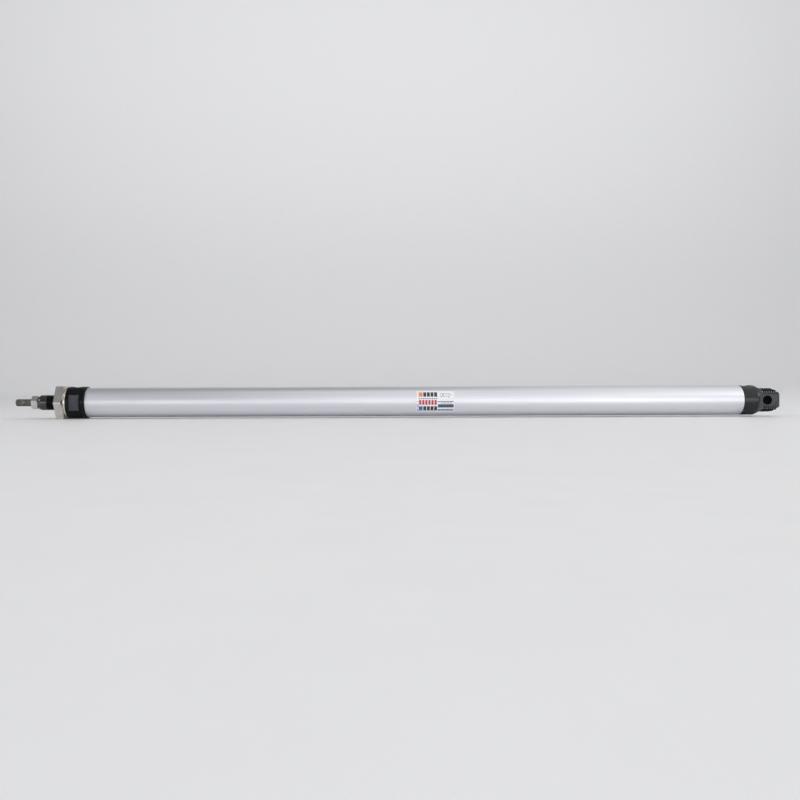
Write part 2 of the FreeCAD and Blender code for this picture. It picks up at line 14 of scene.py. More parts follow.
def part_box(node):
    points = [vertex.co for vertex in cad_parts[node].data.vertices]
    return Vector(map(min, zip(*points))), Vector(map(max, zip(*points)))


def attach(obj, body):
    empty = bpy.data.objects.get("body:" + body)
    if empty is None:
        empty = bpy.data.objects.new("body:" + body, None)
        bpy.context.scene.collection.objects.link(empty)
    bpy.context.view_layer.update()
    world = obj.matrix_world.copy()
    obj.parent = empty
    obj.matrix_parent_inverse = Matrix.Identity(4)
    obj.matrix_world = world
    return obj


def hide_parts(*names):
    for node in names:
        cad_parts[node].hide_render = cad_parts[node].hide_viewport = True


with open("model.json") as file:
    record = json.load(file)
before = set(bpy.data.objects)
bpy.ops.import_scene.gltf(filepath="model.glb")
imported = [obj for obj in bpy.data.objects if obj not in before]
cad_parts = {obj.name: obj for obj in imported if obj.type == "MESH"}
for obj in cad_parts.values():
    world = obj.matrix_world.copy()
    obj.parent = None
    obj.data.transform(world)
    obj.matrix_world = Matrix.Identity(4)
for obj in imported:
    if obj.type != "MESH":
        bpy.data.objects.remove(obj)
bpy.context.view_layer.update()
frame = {"nodes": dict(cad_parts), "record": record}

MM = 0.001
TAU = 2 * math.pi
SEGMENTS = 144           # round the axis of every turned piece

# ---- Stations and sizes, read from the frame -----------------------------------------------------

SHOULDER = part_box("nut_washer")[1].x
BARREL_FRONT, BARREL_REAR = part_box("barrel")[0].x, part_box("barrel")[1].x
BARREL_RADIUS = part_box("barrel")[1].z
HEAD_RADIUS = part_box("front_cover")[1].z
COVER_FRONT, COVER_SPIGOT_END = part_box("front_cover")[0].x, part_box("front_cover")[1].x
REAR_SPIGOT_START, TANG_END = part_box("rear_cover")[0].x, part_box("rear_cover")[1].x
CAP_FRONT, CAP_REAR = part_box("gland_cap")[0].x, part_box("gland_cap")[1].x
NOSE_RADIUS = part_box("gland_cap")[1].z
NUT_FRONT, NUT_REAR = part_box("mounting_nut")[0].x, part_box("mounting_nut")[1].x
NUT_HALF_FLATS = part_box("mounting_nut")[1].z
ROD_NUT_FRONT, ROD_NUT_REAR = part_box("rod_nut")[0].x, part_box("rod_nut")[1].x
ROD_TIP, ROD_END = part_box("piston_rod")[0].x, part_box("piston_rod")[1].x
ROD_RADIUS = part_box("piston_rod")[1].z
BORE_RADIUS = 8.0 * MM
SPIGOT_RADIUS = BORE_RADIUS - 0.02 * MM       # of both covers, inside the barrel
SEAL_GROOVE_RADIUS, SEAL_GROOVE_WIDTH = 6.6 * MM, 2.4 * MM
THREAD_RADIUS = 8.0 * MM                      # M16, on the nose and the tang
THREAD_PITCH, THREAD_DEPTH = 1.5 * MM, 0.92 * MM
PIVOT_RADIUS = 3.05 * MM
ROD_THREAD_RADIUS = 2.5 * MM                  # M5
FINE_PITCH = 0.8 * MM                         # M5, on the rod and in the ports
ROD_NUT_HALF_FLATS = 4.0 * MM
ROD_NUT_TURN = 17.0                           # degrees by which the corner at -Y is lifted
HEAD_FLAT, TANG_FLAT = 9.4 * MM, 6.0 * MM     # half widths across the milled flats
CREST_START, FLANK_WIDTH = 0.875, 0.625       # of a thread's half pitch, from its root


# ---- Mesh helpers --------------------------------------------------------------------------------

def add_mesh(name, work):
    """Links a new object made of a bmesh, and frees the bmesh."""
    mesh = bpy.data.meshes.new(name)
    work.to_mesh(mesh)
    work.free()
    obj = bpy.data.objects.new(name, mesh)
    bpy.context.scene.collection.objects.link(obj)
    return obj


def add_solid(name, work):
    """The same for a closed surface, with its faces turned outward."""
    bmesh.ops.recalc_face_normals(work, faces=work.faces)
    return add_mesh(name, work)


def shade(obj, sharp_degrees=32):
    """Smooth shading with every edge sharper than the angle kept crisp."""
    mesh = obj.data
    work = bmesh.new()
    work.from_mesh(mesh)
    limit = math.radians(sharp_degrees)
    for face in work.faces:
        face.smooth = True
    for edge in work.edges:
        edge.smooth = len(edge.link_faces) != 2 or edge.calc_face_angle(0) < limit
    work.to_mesh(mesh)
    work.free()
    return obj


def soften(points, radius=0.12 * MM, steps=3, closed=True):
    """An outline of (x, r) points with each corner replaced by a small round. The ends of an open
    outline stay as they are."""
    rounded = []
    count = len(points)
    for i, corner in enumerate(points):
        if not closed and i in (0, count - 1):
            rounded.append(corner)
            continue
        here = Vector(corner)
        before = Vector(points[i - 1]) - here
        after = Vector(points[(i + 1) % count]) - here
        reach = min(radius, before.length * 0.4, after.length * 0.4)
        start = here + before.normalized() * reach
        end = here + after.normalized() * reach
        for step in range(steps + 1):
            t = step / steps
            point = start * (1 - t) ** 2 + here * 2 * t * (1 - t) + end * t ** 2
            rounded.append((point.x, point.y))
    return rounded


def thread_rows(start, end, major, pitch, depth, fade_start=0, fade_end=0, per_turn=14):
    """Rows of a right-hand screw thread: (x, radius as a function of the angle). The thread fades
    in over the length fade_start and out over fade_end."""
    rows = []
    count = round((end - start) / pitch * per_turn)
    for i in range(count + 1):
        x = start + (end - start) * i / count
        fade = 1.0
        if fade_start:
            fade = min(fade, (x - start) / fade_start)
        if fade_end:
            fade = min(fade, (end - x) / fade_end)

        def radius(angle, x=x, fade=fade):
            phase = (x / pitch + angle / TAU) % 1.0
            from_root = abs(phase - 0.5) * 2
            cut = min(max((CREST_START - from_root) / FLANK_WIDTH, 0.0), 1.0)
            cut = cut * cut * (3 - 2 * cut)
            return major - depth * cut * fade

        rows.append((x, radius))
    return rows


def chamfered(rows, x, radius, slope):
    """Limits rows to a cone that has the radius at x and widens by slope away from it."""
    def limit(row):
        at, wanted = row
        cap = radius + abs(at - x) * slope

        def lesser(angle):
            value = wanted(angle) if callable(wanted) else wanted
            return min(value, cap)

        return (at, lesser)

    return [limit(row) for row in rows]


def revolve(name, rows, segments=SEGMENTS):
    """A closed surface about X through rows of (x, radius). A radius is a number or a function of
    the angle, and the first and last rows meet unless both have no radius."""
    work = bmesh.new()
    rings = []
    for x, radius in rows:
        if not callable(radius) and radius < 1e-7:
            rings.append([work.verts.new((x, 0, 0))])
            continue
        ring = []
        for i in range(segments):
            angle = TAU * i / segments
            r = radius(angle) if callable(radius) else radius
            ring.append(work.verts.new((x, -r * math.cos(angle), r * math.sin(angle))))
        rings.append(ring)
    if len(rings[0]) > 1:
        rings.append(rings[0])
    for near, far in zip(rings, rings[1:]):
        for i in range(segments):
            j = (i + 1) % segments
            corners = [
                near[i % len(near)], near[j % len(near)], far[j % len(far)], far[i % len(far)],
            ]
            loop = list(dict.fromkeys(corners))
            if len(loop) > 2:
                work.faces.new(loop)
    return add_solid(name, work)


def block(name, low, high):
    """A box between two opposite corners."""
    work = bmesh.new()
    bmesh.ops.create_cube(work, size=1.0)
    low, high = Vector(low), Vector(high)
    for vert in work.verts:
        vert.co = (low + high) / 2 + Vector(c * s for c, s in zip(vert.co, high - low))
    return add_mesh(name, work)


def prism(name, outline, low, high):
    """A straight prism along Z through a closed (x, y) outline."""
    work = bmesh.new()
    bottom = [work.verts.new((x, y, low)) for x, y in outline]
    top = [work.verts.new((x, y, high)) for x, y in outline]
    count = len(outline)
    work.faces.new(bottom)
    work.faces.new(top)
    for i in range(count):
        j = (i + 1) % count
        work.faces.new([bottom[i], bottom[j], top[j], top[i]])
    return add_solid(name, work)


def combine(obj, operation, cutters):
    """Applies booleans with the cutters, in order, and removes the cutters."""
    for cutter in cutters:
        modifier = obj.modifiers.new("cut", "BOOLEAN")
        modifier.operation = operation
        modifier.solver = "EXACT"
        modifier.object = cutter
        bpy.context.view_layer.update()
        graph = bpy.context.evaluated_depsgraph_get()
        made = bpy.data.meshes.new_from_object(obj.evaluated_get(graph))
        obj.modifiers.clear()
        obj.data = made
        bpy.data.objects.remove(cutter)
    return obj


def turn_to(obj, matrix):
    """Moves an object's mesh by a matrix."""
    obj.data.transform(matrix)
    return obj


# ---- Materials -----------------------------------------------------------------------------------

class Recipe:
    """A Principled material, with helpers that add nodes to it."""

    def __init__(self, name, color, metallic, roughness, **sockets):
        self.material = bpy.data.materials.new(name)
        self.material.use_nodes = True
        self.nodes = self.material.node_tree.nodes
        self.links = self.material.node_tree.links
        self.shader = self.nodes["Principled BSDF"]
        self.shader.inputs["Base Color"].default_value = (*color, 1)
        self.shader.inputs["Metallic"].default_value = metallic
        self.shader.inputs["Roughness"].default_value = roughness
        for socket, value in sockets.items():
            self.shader.inputs[socket.replace("_", " ")].default_value = value
        self.coords = self.nodes.new("ShaderNodeTexCoord").outputs["Object"]

    def stretched(self, x, y, z):
        """Object coordinates scaled per axis, so that a texture's grain can run along one."""
        mapping = self.nodes.new("ShaderNodeMapping")
        mapping.inputs["Scale"].default_value = (x, y, z)
        self.links.new(self.coords, mapping.inputs["Vector"])
        return mapping.outputs["Vector"]

    def noise(self, vector, scale, detail=3.0, roughness=0.5):
        node = self.nodes.new("ShaderNodeTexNoise")
        node.inputs["Scale"].default_value = scale
        node.inputs["Detail"].default_value = detail
        node.inputs["Roughness"].default_value = roughness
        self.links.new(vector, node.inputs["Vector"])
        return node.outputs["Fac"]

    def axis(self, name):
        split = self.nodes.new("ShaderNodeSeparateXYZ")
        self.links.new(self.coords, split.inputs["Vector"])
        return split.outputs[name]

    def calculate(self, operation, *values):
        node = self.nodes.new("ShaderNodeMath")
        node.operation = operation
        for value, socket in zip(values, node.inputs):
            self.links.new(value, socket)
        return node.outputs[0]

    def remap(self, value, low, high, to_low=0.0, to_high=1.0):
        """Maps the range from low to high onto the range from to_low to to_high."""
        node = self.nodes.new("ShaderNodeMapRange")
        ends = {"From Min": low, "From Max": high, "To Min": to_low, "To Max": to_high}
        for socket, number in ends.items():
            node.inputs[socket].default_value = number
        self.links.new(value, node.inputs["Value"])
        return node.outputs["Result"]

    def blend_colors(self, factor, first, second):
        """Mixes two colours, or a colour over a socket, by factor."""
        node = self.nodes.new("ShaderNodeMix")
        node.data_type = "RGBA"
        self.links.new(factor, node.inputs["Factor"])
        for socket, value in ((node.inputs["A"], first), (node.inputs["B"], second)):
            if isinstance(value, tuple):
                socket.default_value = (*value, 1)
            else:
                self.links.new(value, socket)
        return node.outputs["Result"]

    def tones(self, value, low, high, first, second):
        """Goes from the first colour to the second as the value rises from low to high."""
        return self.blend_colors(self.remap(value, low, high), first, second)

    def vary_roughness(self, value, smooth, rough, low=0.3, high=0.7):
        """Takes the roughness from smooth to rough as the value rises from low to high."""
        self.set("Roughness", self.remap(value, low, high, smooth, rough))

    def worn_edges(self, low=0.52, high=0.62):
        """High on convex edges and low elsewhere."""
        geometry = self.nodes.new("ShaderNodeNewGeometry")
        return self.remap(geometry.outputs["Pointiness"], low, high)

    def set(self, socket, value):
        self.links.new(value, self.shader.inputs[socket])

    def bump(self, height, distance, strength=1.0, below=None):
        node = self.nodes.new("ShaderNodeBump")
        node.inputs["Strength"].default_value = strength
        node.inputs["Distance"].default_value = distance
        self.links.new(height, node.inputs["Height"])
        if below is not None:
            self.links.new(below, node.inputs["Normal"])
        return node.outputs["Normal"]


def anodised_barrel():
    """Clear-anodised drawn tube: faint draw lines along the axis under a fine matt grain."""
    r = Recipe("anodised_barrel", (0.78, 0.78, 0.83), 0.92, 0.4)
    lines = r.noise(r.stretched(6, 900, 900), 1.0, detail=4)
    grain = r.noise(r.coords, 9000.0, detail=2)
    cloud = r.noise(r.stretched(14, 60, 60), 1.0, detail=3)
    tone = r.tones(lines, 0.3, 0.7, (0.72, 0.72, 0.765), (0.77, 0.77, 0.81))
    patches = r.remap(cloud, 0.35, 0.65, 0.0, 0.35)
    r.set("Base Color", r.blend_colors(patches, tone, (0.69, 0.69, 0.74)))
    r.vary_roughness(cloud, 0.43, 0.49)
    r.set("Normal", r.bump(grain, 0.006 * MM, 0.5, r.bump(lines, 0.01 * MM, 0.5)))
    return r.material


def worn_teeth(r):
    """High on the crests of the tang's thread where they run out into its flats."""
    from_axis = r.nodes.new("ShaderNodeVectorMath")
    from_axis.operation = "LENGTH"
    r.links.new(r.stretched(0, 1, 1), from_axis.inputs[0])
    sideways = r.calculate("ABSOLUTE", r.axis("Y"))
    at_flat = r.remap(sideways, TANG_FLAT - 0.9 * MM, TANG_FLAT - 0.3 * MM)
    at_crest = r.remap(
        from_axis.outputs["Value"], THREAD_RADIUS - 0.55 * MM, THREAD_RADIUS - 0.2 * MM)
    on_tang = r.remap(r.axis("X"), -4.4 * MM, -3.4 * MM)
    return r.calculate("MULTIPLY", r.calculate("MULTIPLY", at_flat, at_crest), on_tang)


def black_anodised(name, ior):
    """Black anodised turned aluminium: fine lathe rings, with a little bare metal on handled edges
    and on the tang's teeth."""
    r = Recipe(name, (0.003, 0.0035, 0.004), 0.0, 0.3, IOR=ior)
    rings = r.noise(r.stretched(5200, 30, 30), 1.0, detail=3)
    cloud = r.noise(r.coords, 260.0, detail=3)
    tone = r.tones(cloud, 0.35, 0.7, (0.002, 0.0025, 0.003), (0.0045, 0.005, 0.0055))
    scuffs = r.remap(r.noise(r.coords, 900.0, detail=4), 0.5, 0.62, 0.0, 0.25)
    worn = r.calculate("MULTIPLY", r.worn_edges(0.56, 0.75), scuffs)
    tone = r.blend_colors(worn, tone, (0.25, 0.26, 0.27))
    r.set("Base Color", r.blend_colors(worn_teeth(r), tone, (0.30, 0.33, 0.35)))
    r.vary_roughness(cloud, 0.24, 0.36)
    r.set("Normal", r.bump(rings, 0.006 * MM, 0.35))
    return r.material


def milled_black():
    """Black anodising over milled flats: duller and greyer, with the cutter's fine arcs."""
    r = Recipe("milled_black", (0.03, 0.036, 0.04), 0.0, 0.5)
    arcs = r.noise(r.stretched(900, 900, 3200), 1.0, detail=3)
    cloud = r.noise(r.coords, 420.0, detail=4)
    r.set("Base Color", r.tones(cloud, 0.35, 0.65, (0.026, 0.031, 0.036), (0.040, 0.047, 0.053)))
    r.vary_roughness(cloud, 0.42, 0.54)
    r.set("Normal", r.bump(arcs, 0.008 * MM, 0.4))
    return r.material


def bore_painted_shade():
    """The inside of the pivot hole: matt near-black with faint reamed rings; painted shade, duller
    and darker than the cover's anodising.
    """
    r = Recipe("bore_painted_shade", (0.002, 0.002, 0.002), 0.0, 0.7, IOR=1.15)
    rings = r.noise(r.stretched(60, 5200, 60), 1.0, detail=3)
    cloud = r.noise(r.coords, 700.0, detail=3)
    r.set("Base Color", r.blend_colors(cloud, (0.0015, 0.0015, 0.0015), (0.003, 0.003, 0.003)))
    r.vary_roughness(cloud, 0.65, 0.8)
    r.set("Normal", r.bump(rings, 0.004 * MM, 0.3))
    return r.material


def glossy_black():
    """The gland cap's black anodising over a polished surface, with faint lathe rings."""
    r = Recipe("glossy_black", (0.004, 0.0045, 0.005), 0.0, 0.24, Specular_IOR_Level=1.0, IOR=1.5)
    rings = r.noise(r.stretched(5200, 30, 30), 1.0, detail=3)
    cloud = r.noise(r.coords, 500.0, detail=3)
    r.set("Base Color", r.blend_colors(cloud, (0.003, 0.0035, 0.004), (0.006, 0.0065, 0.007)))
    r.vary_roughness(cloud, 0.21, 0.27)
    r.set("Normal", r.bump(rings, 0.003 * MM, 0.3))
    return r.material


def plated_steel(name, dark, light, low_rough, high_rough, lathe=False):
    """Plated steel: slight mottling of the plating, fine grinding lines and brighter edges."""
    r = Recipe(name, light, 1.0, low_rough)
    along = r.stretched(4200, 60, 60) if lathe else r.stretched(700, 2600, 2600)
    lines = r.noise(along, 1.0, detail=3)
    cloud = r.noise(r.coords, 420.0, detail=4)
    tone = r.tones(cloud, 0.35, 0.65, dark, light)
    bright = tuple(min(1, c * 1.25) for c in light)
    r.set("Base Color", r.blend_colors(r.worn_edges(), tone, bright))
    r.vary_roughness(cloud, low_rough, high_rough)
    r.set("Normal", r.bump(lines, 0.01 * MM, 0.35))
    return r.material


def rod_steel():
    """Chromed rod, polished round the axis, whose rolled thread is duller and much darker all over.
    """
    r = Recipe("rod_steel", (0.55, 0.55, 0.56), 1.0, 0.18)
    threaded = r.remap(r.axis("X"), CAP_FRONT, CAP_FRONT - 0.5 * MM)
    cloud = r.noise(r.coords, 800.0, detail=4)
    polish = r.noise(r.stretched(3000, 40, 40), 1.0, detail=2)
    thread_tone = r.tones(cloud, 0.35, 0.65, (0.17, 0.17, 0.165), (0.33, 0.33, 0.32))
    r.set("Base Color", r.blend_colors(threaded, (0.62, 0.62, 0.64), thread_tone))
    r.vary_roughness(threaded, 0.14, 0.42, 0.0, 1.0)
    r.set("Normal", r.bump(polish, 0.003 * MM, 0.3))
    return r.material


def rubber(name, color, roughness=0.6):
    """Moulded rubber: matt, finely pitted, a little dusty."""
    r = Recipe(name, color, 0.0, roughness)
    pits = r.noise(r.coords, 3200.0, detail=4)
    dust = r.noise(r.coords, 500.0, detail=3)
    r.set("Base Color", r.tones(dust, 0.4, 0.7, color, tuple(c * 1.6 + 0.01 for c in color)))
    r.vary_roughness(dust, roughness - 0.08, roughness + 0.1)
    r.set("Normal", r.bump(pits, 0.02 * MM, 0.5))
    return r.material


def turned_metal(name, color, metallic, low_rough, high_rough, pores=0.0):
    """Bare turned metal: rings from the lathe, and pores where it is sintered."""
    r = Recipe(name, color, metallic, low_rough)
    rings = r.noise(r.stretched(5000, 20, 20), 1.0, detail=3)
    cloud = r.noise(r.coords, 600.0, detail=4)
    r.set("Base Color", r.tones(cloud, 0.4, 0.65, color, tuple(c * 0.72 for c in color)))
    r.vary_roughness(cloud, low_rough, high_rough)
    normal = r.bump(rings, 0.008 * MM, 0.5)
    if pores:
        normal = r.bump(r.noise(r.coords, 4200.0, detail=2), pores, 0.6, normal)
    r.set("Normal", normal)
    return r.material


def moulded_plastic(name, color, roughness):
    """Moulded plastic: an even colour, slightly clouded, with a fine spark-eroded grain."""
    r = Recipe(name, color, 0.0, roughness)
    grain = r.noise(r.coords, 5200.0, detail=3)
    cloud = r.noise(r.coords, 300.0, detail=3)
    r.set("Base Color", r.tones(cloud, 0.4, 0.65, color, tuple(c * 0.88 for c in color)))
    r.vary_roughness(cloud, roughness - 0.05, roughness + 0.08)
    r.set("Normal", r.bump(grain, 0.01 * MM, 0.4))
    return r.material


def printed_film(name, color, mottled, roughness=0.32):
    """Printed polyester film: ink with a slight screen texture and fine scuffs along the tube."""
    r = Recipe(name, color, 0.0, roughness, Coat_Weight=0.25, Coat_Roughness=0.2)
    mottle = r.noise(r.coords, 2400.0, detail=3)
    scuffs = r.noise(r.stretched(500, 5200, 5200), 1.0, detail=3)
    r.set("Base Color", r.tones(mottle, 0.35, 0.65, color, mottled))
    r.vary_roughness(scuffs, roughness - 0.05, roughness + 0.12, 0.35, 0.65)
    r.set("Normal", r.bump(scuffs, 0.004 * MM, 0.3))
    return r.material


def stage_material():
    """Pale paper with faint fibres."""
    r = Recipe("stage_paper", (0.88, 0.88, 0.88), 0.0, 0.5)
    fibres = r.noise(r.coords, 60.0, detail=5)
    r.set("Base Color", r.tones(fibres, 0.3, 0.7, (0.87, 0.87, 0.875), (0.89, 0.89, 0.89)))
    return r.material


MILLED_BLACK = milled_black()
GLOSSY_BLACK = glossy_black()
# The pivot hole's material is painted shade: a darker, duller black than the cover's anodising.
BORE_PAINTED_SHADE = bore_painted_shade()
# Painted light: the rear and front covers get a lit and a shaded copy of one black anodising; the
# rear's reflects more (IOR 1.5), the front's less (IOR 1.27).
REAR_BLACK_LIT_COPY = black_anodised("rear_black_lit_copy", 1.5)
MATERIALS = {
    "anodised_barrel": anodised_barrel(),
    "black_anodised": black_anodised("black_anodised", 1.27),
    "nickel_steel": plated_steel(
        "nickel_steel", (0.50, 0.48, 0.455), (0.60, 0.58, 0.55), 0.20, 0.28),
    "spring_steel": plated_steel(
        "spring_steel", (0.66, 0.62, 0.53), (0.80, 0.76, 0.66), 0.24, 0.34, lathe=True),
    "rod_steel": rod_steel(),
    "sintered_bronze": turned_metal(
        "sintered_bronze", (0.50, 0.33, 0.16), 0.9, 0.38, 0.5, pores=0.02 * MM),
    "seal_rubber": rubber("seal_rubber", (0.018, 0.018, 0.019)),
    "bumper_rubber": rubber("bumper_rubber", (0.05, 0.075, 0.12), 0.45),
    "wear_plastic": moulded_plastic("wear_plastic", (0.66, 0.60, 0.48), 0.45),
    "piston_aluminium": turned_metal(
        "piston_aluminium", (0.68, 0.68, 0.70), 1.0, 0.25, 0.36),
    "magnet_compound": moulded_plastic("magnet_compound", (0.035, 0.033, 0.033), 0.5),
    "label_film": printed_film("label_film", (0.86, 0.86, 0.88), (0.82, 0.82, 0.845)),
}


def finish_piece(obj, body, slot, *nodes):
    """Gives a new piece its slot's material and its body, and hides the CAD nodes it stands for."""
    obj.data.materials.clear()
    obj.data.materials.append(MATERIALS[slot])
    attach(obj, body)
    if nodes:
        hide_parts(*nodes)
    return obj


# ---- Barrel --------------------------------------------------------------------------------------

def make_barrel():
    outline = soften([
        (BARREL_FRONT, BORE_RADIUS),
        (BARREL_FRONT, BARREL_RADIUS),
        (BARREL_REAR, BARREL_RADIUS),
        (BARREL_REAR, BORE_RADIUS),
    ], 0.25 * MM)
    finish_piece(shade(revolve("barrel_tube", outline)), "housing", "anodised_barrel", "barrel")


# ---- Covers --------------------------------------------------------------------------------------

def flat_cutters(name, start, end, half_width):
    """Two blocks that leave flats facing -Y and +Y."""
    far = 20 * MM
    return [
        block(name + "_front", (start, -far, -far), (end, -half_width, far)),
        block(name + "_back", (start, half_width, -far), (end, far, far)),
    ]


def mill_flats(obj, half_width):
    """Gives the milled faces at the half width their own finish."""
    obj.data.materials.append(MILLED_BLACK)
    for face in obj.data.polygons:
        if abs(face.normal.y) > 0.999 and abs(abs(face.center.y) - half_width) < 0.02 * MM:
            face.material_index = 1


def port_cutters(name, x, face_height, floor_height):
    """A tapped hole up through the wall, with a spot face and a countersink."""
    upright = Matrix.Translation((x, 0, 0)) @ Matrix.Rotation(-math.pi / 2, 4, "Y")
    tap, major, face_radius = 2.1 * MM, 2.45 * MM, 3.5 * MM
    top = face_height + 2 * MM
    sink = 0.35 * MM

    rows = [(floor_height, 0.0)]
    rows += thread_rows(
        floor_height, face_height - sink, major, FINE_PITCH, major - tap, per_turn=10)
    rows += [(face_height, major + sink), (top, major + sink), (top, 0.0)]
    hole = turn_to(revolve(name + "_hole", rows, 48), upright)
    face = turn_to(revolve(name + "_face", [
        (face_height, 0.0), (face_height, face_radius), (top, face_radius), (top, 0.0),
    ], 64), upright)
    return [face, hole]


def make_front_cover():
    """Nose with a fine thread, mounting thread, head with two flats and a port, and the hidden
    spigot."""
    thread_start = SHOULDER - 8 * MM
    groove = SHOULDER + 9.6 * MM
    edge = 0.4 * MM
    ring = BARREL_FRONT + 3.7 * MM
    spigot_lip = COVER_SPIGOT_END - 1.5 * MM
    seal_room = SHOULDER - 5.5 * MM
    bush_start = seal_room - 8.3 * MM
    clear, bush_bore, neck, seal_bore = 3.3 * MM, 3.75 * MM, 4.38 * MM, 5.5 * MM

    inside_front = [
        (bush_start, clear), (COVER_FRONT, clear), (COVER_FRONT, neck), (CAP_REAR, neck),
    ]
    nose = chamfered(
        thread_rows(
            CAP_REAR, thread_start, NOSE_RADIUS, 1.25 * MM, 0.62 * MM,
            fade_start=0.4 * MM, fade_end=0.6 * MM),
        CAP_REAR, NOSE_RADIUS - 0.25 * MM, 1.0,
    )
    mounting = chamfered(
        thread_rows(
            thread_start, SHOULDER - 0.4 * MM, THREAD_RADIUS, THREAD_PITCH, THREAD_DEPTH,
            fade_end=0.4 * MM),
        thread_start, THREAD_RADIUS - 1.0 * MM, 1.0,
    )
    head = soften([
        (SHOULDER, THREAD_RADIUS),
        (SHOULDER, HEAD_RADIUS - edge),
        (SHOULDER + edge, HEAD_RADIUS),
        (groove, HEAD_RADIUS),
        (groove + 0.05 * MM, HEAD_RADIUS - edge),
        (groove + 0.45 * MM, HEAD_RADIUS - edge),
        (groove + 0.5 * MM, HEAD_RADIUS),
        (BARREL_FRONT - 0.15 * MM, HEAD_RADIUS),
        (BARREL_FRONT, HEAD_RADIUS - 0.2 * MM),
        (BARREL_FRONT, SPIGOT_RADIUS),
        (ring, SPIGOT_RADIUS),
        (ring, SEAL_GROOVE_RADIUS),
        (ring + SEAL_GROOVE_WIDTH, SEAL_GROOVE_RADIUS),
        (ring + SEAL_GROOVE_WIDTH, SPIGOT_RADIUS),
        (COVER_SPIGOT_END, SPIGOT_RADIUS),
        (COVER_SPIGOT_END, SEAL_GROOVE_RADIUS),
        (spigot_lip, SEAL_GROOVE_RADIUS),
        (spigot_lip, seal_bore),
        (seal_room, seal_bore),
        (seal_room, bush_bore),
        (bush_start, bush_bore),
    ], 0.1 * MM, closed=False)
    cover = revolve("front_head", inside_front + nose + mounting + head)
    flats = flat_cutters("head_flat", SHOULDER + 2.2 * MM, SHOULDER + 9.2 * MM, HEAD_FLAT)
    port = port_cutters("front_port", SHOULDER + 5.7 * MM, HEAD_RADIUS - 0.5 * MM, 0.5 * MM)
    shade(combine(cover, "DIFFERENCE", flats + port))
    finish_piece(cover, "housing", "black_anodised", "front_cover")
    mill_flats(cover, HEAD_FLAT)


def swing_cutter(radius):
    """What lies outside the tang's swing circle about the pivot, as a prism along Y."""
    steps = 48
    far = radius + 4 * MM
    arc = [
        (radius * math.cos(a), radius * math.sin(a))
        for a in (math.pi / 2 - math.pi * i / steps for i in range(steps + 1))
    ]
    outline = arc + [(0, -far), (far, -far), (far, far), (0, far)]
    cutter = prism("tang_swing", outline, -far, far)
    return turn_to(cutter, Matrix.Rotation(math.pi / 2, 4, "X"))


def make_rear_cover():
    """Ring, cone, and a threaded tang milled flat on two sides, rounded and drilled for the
    pivot."""
    spigot_lip = REAR_SPIGOT_START + 1.5 * MM
    ring = BARREL_REAR - 3.7 * MM
    rear_end = BARREL_REAR + 9.4 * MM
    tang_base = rear_end + 4.4 * MM
    air_bore = 4.0 * MM
    air_end = REAR_SPIGOT_START + 16.6 * MM
    front = soften([
        (spigot_lip, air_bore),
        (spigot_lip, SEAL_GROOVE_RADIUS),
        (REAR_SPIGOT_START, SEAL_GROOVE_RADIUS),
        (REAR_SPIGOT_START, SPIGOT_RADIUS),
        (ring - SEAL_GROOVE_WIDTH, SPIGOT_RADIUS),
        (ring - SEAL_GROOVE_WIDTH, SEAL_GROOVE_RADIUS),
        (ring, SEAL_GROOVE_RADIUS),
        (ring, SPIGOT_RADIUS),
        (BARREL_REAR, SPIGOT_RADIUS),
        (BARREL_REAR, BARREL_RADIUS - 0.2 * MM),
        (BARREL_REAR + 0.15 * MM, BARREL_RADIUS),
        (rear_end, BARREL_RADIUS),
        (tang_base, THREAD_RADIUS),
    ], 0.1 * MM, closed=False)
    tang = chamfered(
        thread_rows(
            tang_base, TANG_END, THREAD_RADIUS, THREAD_PITCH, THREAD_DEPTH,
            fade_start=0.8 * MM, per_turn=16),
        TANG_END, THREAD_RADIUS - 0.5 * MM, 1.0,
    )
    rows = [(TANG_END, 0.0)] + tang[::-1] + front[::-1] + [(air_end, air_bore), (air_end, 0.0)]
    cover = revolve("rear_end_cap", rows)
    flats = flat_cutters("tang_flat", -6.6 * MM, TANG_END + 2 * MM, TANG_FLAT)
    swing = swing_cutter(8.9 * MM)
    reach = 8 * MM
    bevel = 0.12 * MM
    mouth = PIVOT_RADIUS + bevel
    flare = 2 * MM
    pin = turn_to(revolve("pivot_hole", [
        (-reach, 0.0),
        (-reach, mouth + flare),
        (-TANG_FLAT, mouth),
        (-TANG_FLAT + bevel, PIVOT_RADIUS),
        (TANG_FLAT - bevel, PIVOT_RADIUS),
        (TANG_FLAT, mouth),
        (reach, mouth + flare),
        (reach, 0.0),
    ], 64), Matrix.Rotation(math.pi / 2, 4, "Z"))
    port = port_cutters("rear_port", -13 * MM, BARREL_RADIUS - 0.5 * MM, 0.5 * MM)
    shade(combine(cover, "DIFFERENCE", flats + [swing, pin] + port))
    finish_piece(cover, "housing", "black_anodised", "rear_cover")
    # The rear cover takes the lit copy of the black anodising, painted light.
    cover.data.materials[0] = REAR_BLACK_LIT_COPY
    mill_flats(cover, TANG_FLAT)
    # The pivot hole's faces get painted shade, a darker and duller black than the rest of the
    # cover.
    cover.data.materials.append(BORE_PAINTED_SHADE)
    for face in cover.data.polygons:
        from_pivot = math.hypot(face.center.x, face.center.z)
        if abs(face.normal.y) < 0.5 and from_pivot < PIVOT_RADIUS + 0.02 * MM:
            face.material_index = 2


def make_gland_cap():
    lip = CAP_FRONT + 1.2 * MM
    chamfer = 1.4 * MM
    cap = revolve("gland_cap_ring", soften([
        (CAP_FRONT, 3.3 * MM),
        (CAP_FRONT, NOSE_RADIUS - chamfer / 2),
        (CAP_FRONT + chamfer, NOSE_RADIUS),
        (CAP_REAR, NOSE_RADIUS),
        (CAP_REAR, 4.4 * MM),
        (lip, 4.4 * MM),
        (lip, 3.3 * MM),
    ], 0.2 * MM, 4))
    finish_piece(shade(cap), "housing", "black_anodised", "gland_cap")
    cap.data.materials[0] = GLOSSY_BLACK


# ---- Nuts, washer and rod ------------------------------------------------------------------------

